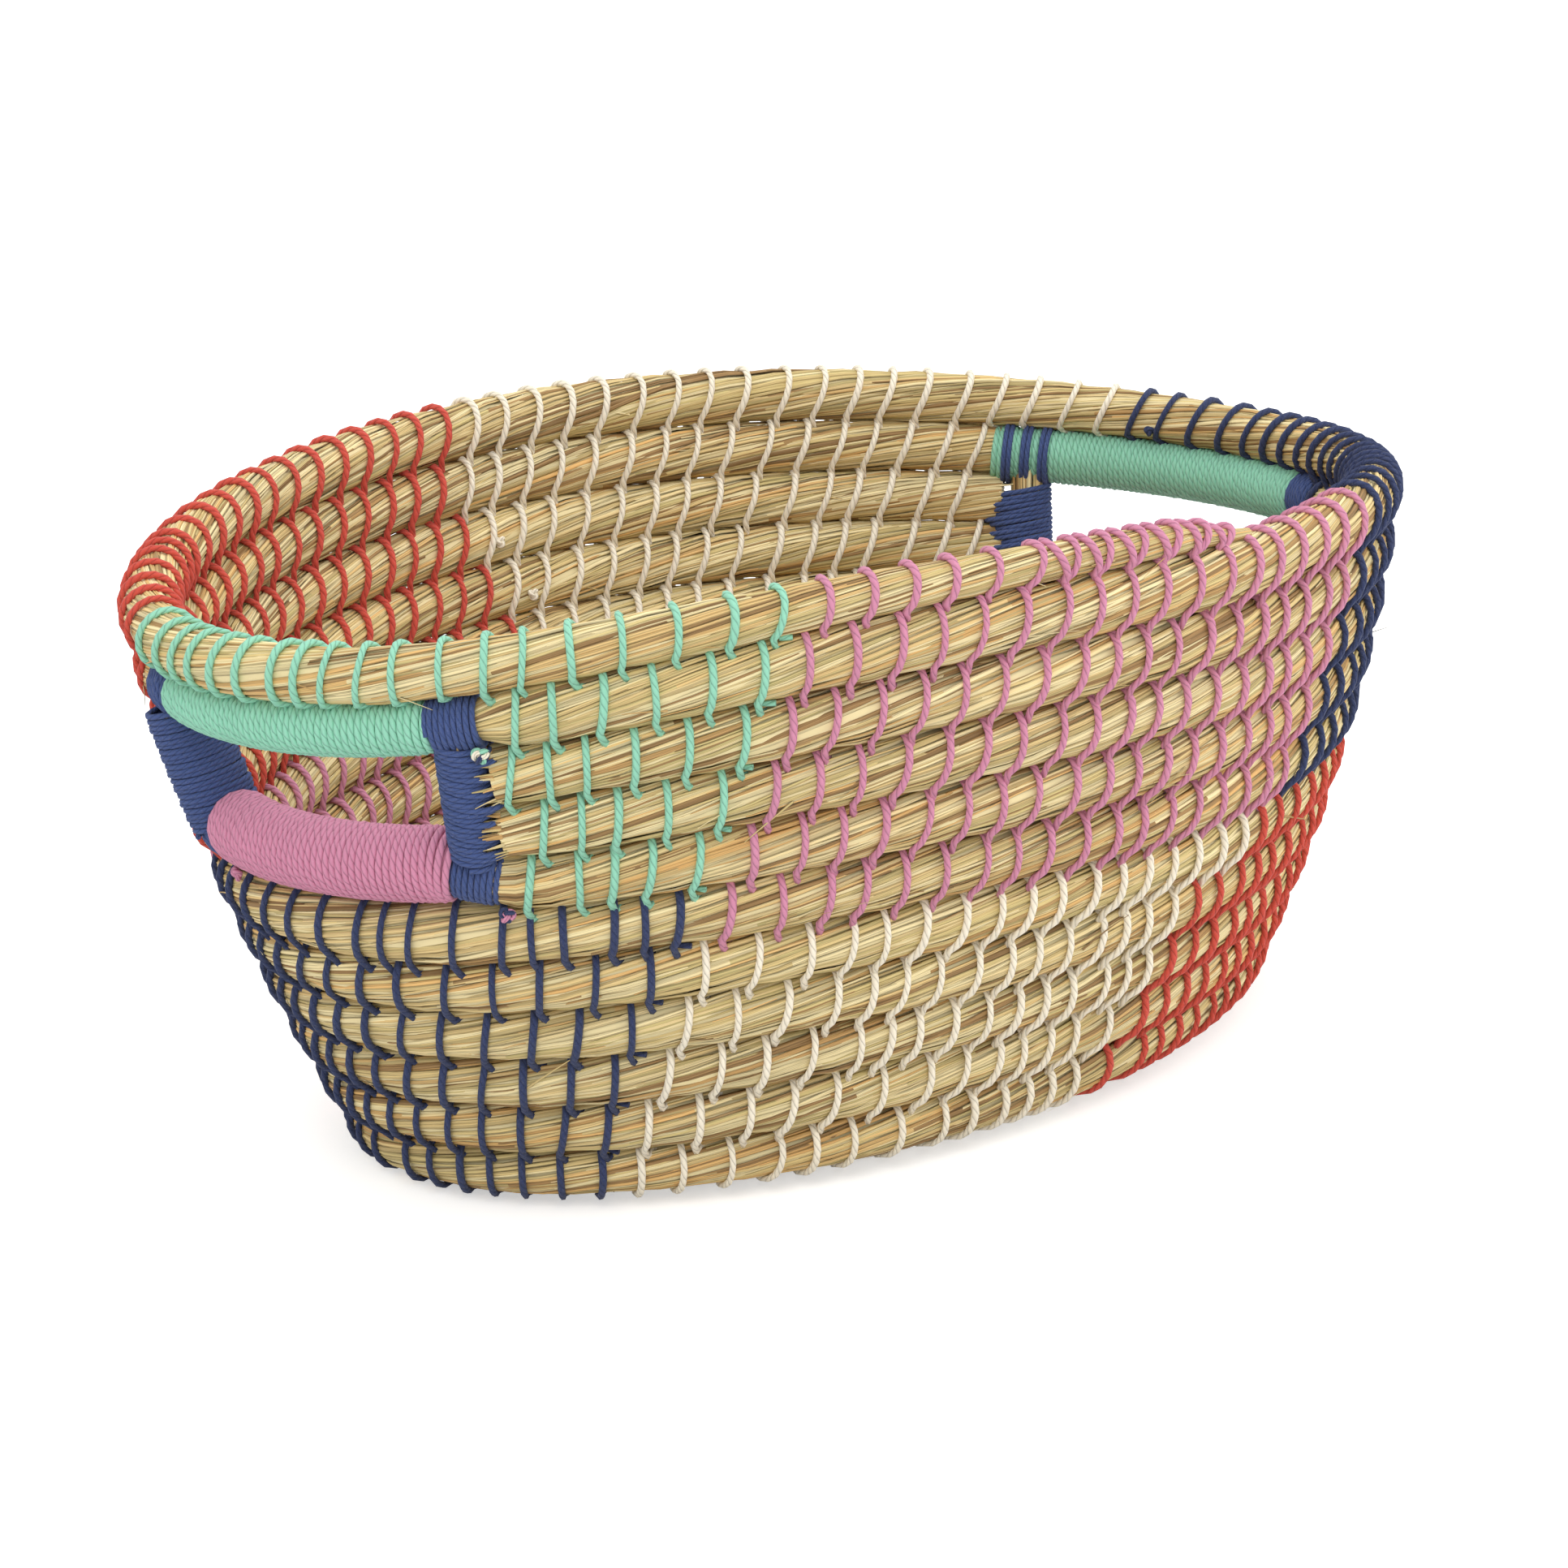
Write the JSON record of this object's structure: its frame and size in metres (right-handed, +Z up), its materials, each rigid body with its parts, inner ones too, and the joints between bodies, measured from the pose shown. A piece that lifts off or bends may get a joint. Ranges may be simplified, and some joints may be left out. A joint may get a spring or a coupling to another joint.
{
  "type": "coiled basket",
  "caption": "Oval open-top basket of coiled grass bundle sewn with coloured cord, with a wrapped hand grip opening through the wall at each end and a flat base.",
  "frame": {"origin": "middle of the basket's outline box, on the plane that it stands on", "axes": "+X along the long way of the oval towards the grip that the picture shows on the right, +Y towards the far long side, +Z up"},
  "size_m": [0.4988, 0.3762, 0.2344],
  "materials": {
    "grass": "dry grass and straw, unvarnished, slightly glossy strands",
    "mint_cord": "plied cotton cord, matt, a little fuzzy",
    "pink_cord": "plied cotton cord, matt, a little fuzzy",
    "blue_cord": "plied cotton cord, matt, a little fuzzy",
    "navy_cord": "plied cotton cord, matt, a little fuzzy",
    "coral_cord": "plied cotton cord, matt, a little fuzzy",
    "cream_cord": "plied cotton cord, matt, a little fuzzy"
  },
  "bodies": {
    "root": {"base_coil": "grass", "lower_wall_coil": "grass", "sill_coil": "grass", "front_wall_coil": "grass", "back_wall_coil_lower": "grass", "back_wall_coil_upper": "grass", "lintel_coil": "grass", "rim_coil": "grass", "left_grip_wrap": "mint_cord", "right_grip_wrap": "mint_cord", "left_sill_wrap": "pink_cord", "right_sill_wrap": "pink_cord", "left_front_post": "grass", "left_back_post": "grass", "right_front_post": "grass", "right_back_post": "grass", "left_front_post_binding": "blue_cord", "left_back_post_binding": "blue_cord", "right_front_post_binding": "blue_cord", "right_back_post_binding": "blue_cord", "left_front_upper_tie": "blue_cord", "left_back_upper_tie": "blue_cord", "right_front_upper_tie": "blue_cord", "right_back_upper_tie": "blue_cord", "left_front_lower_tie": "blue_cord", "left_back_lower_tie": "blue_cord", "right_front_lower_tie": "blue_cord", "right_back_lower_tie": "blue_cord"}
  },
  "joints": []
}
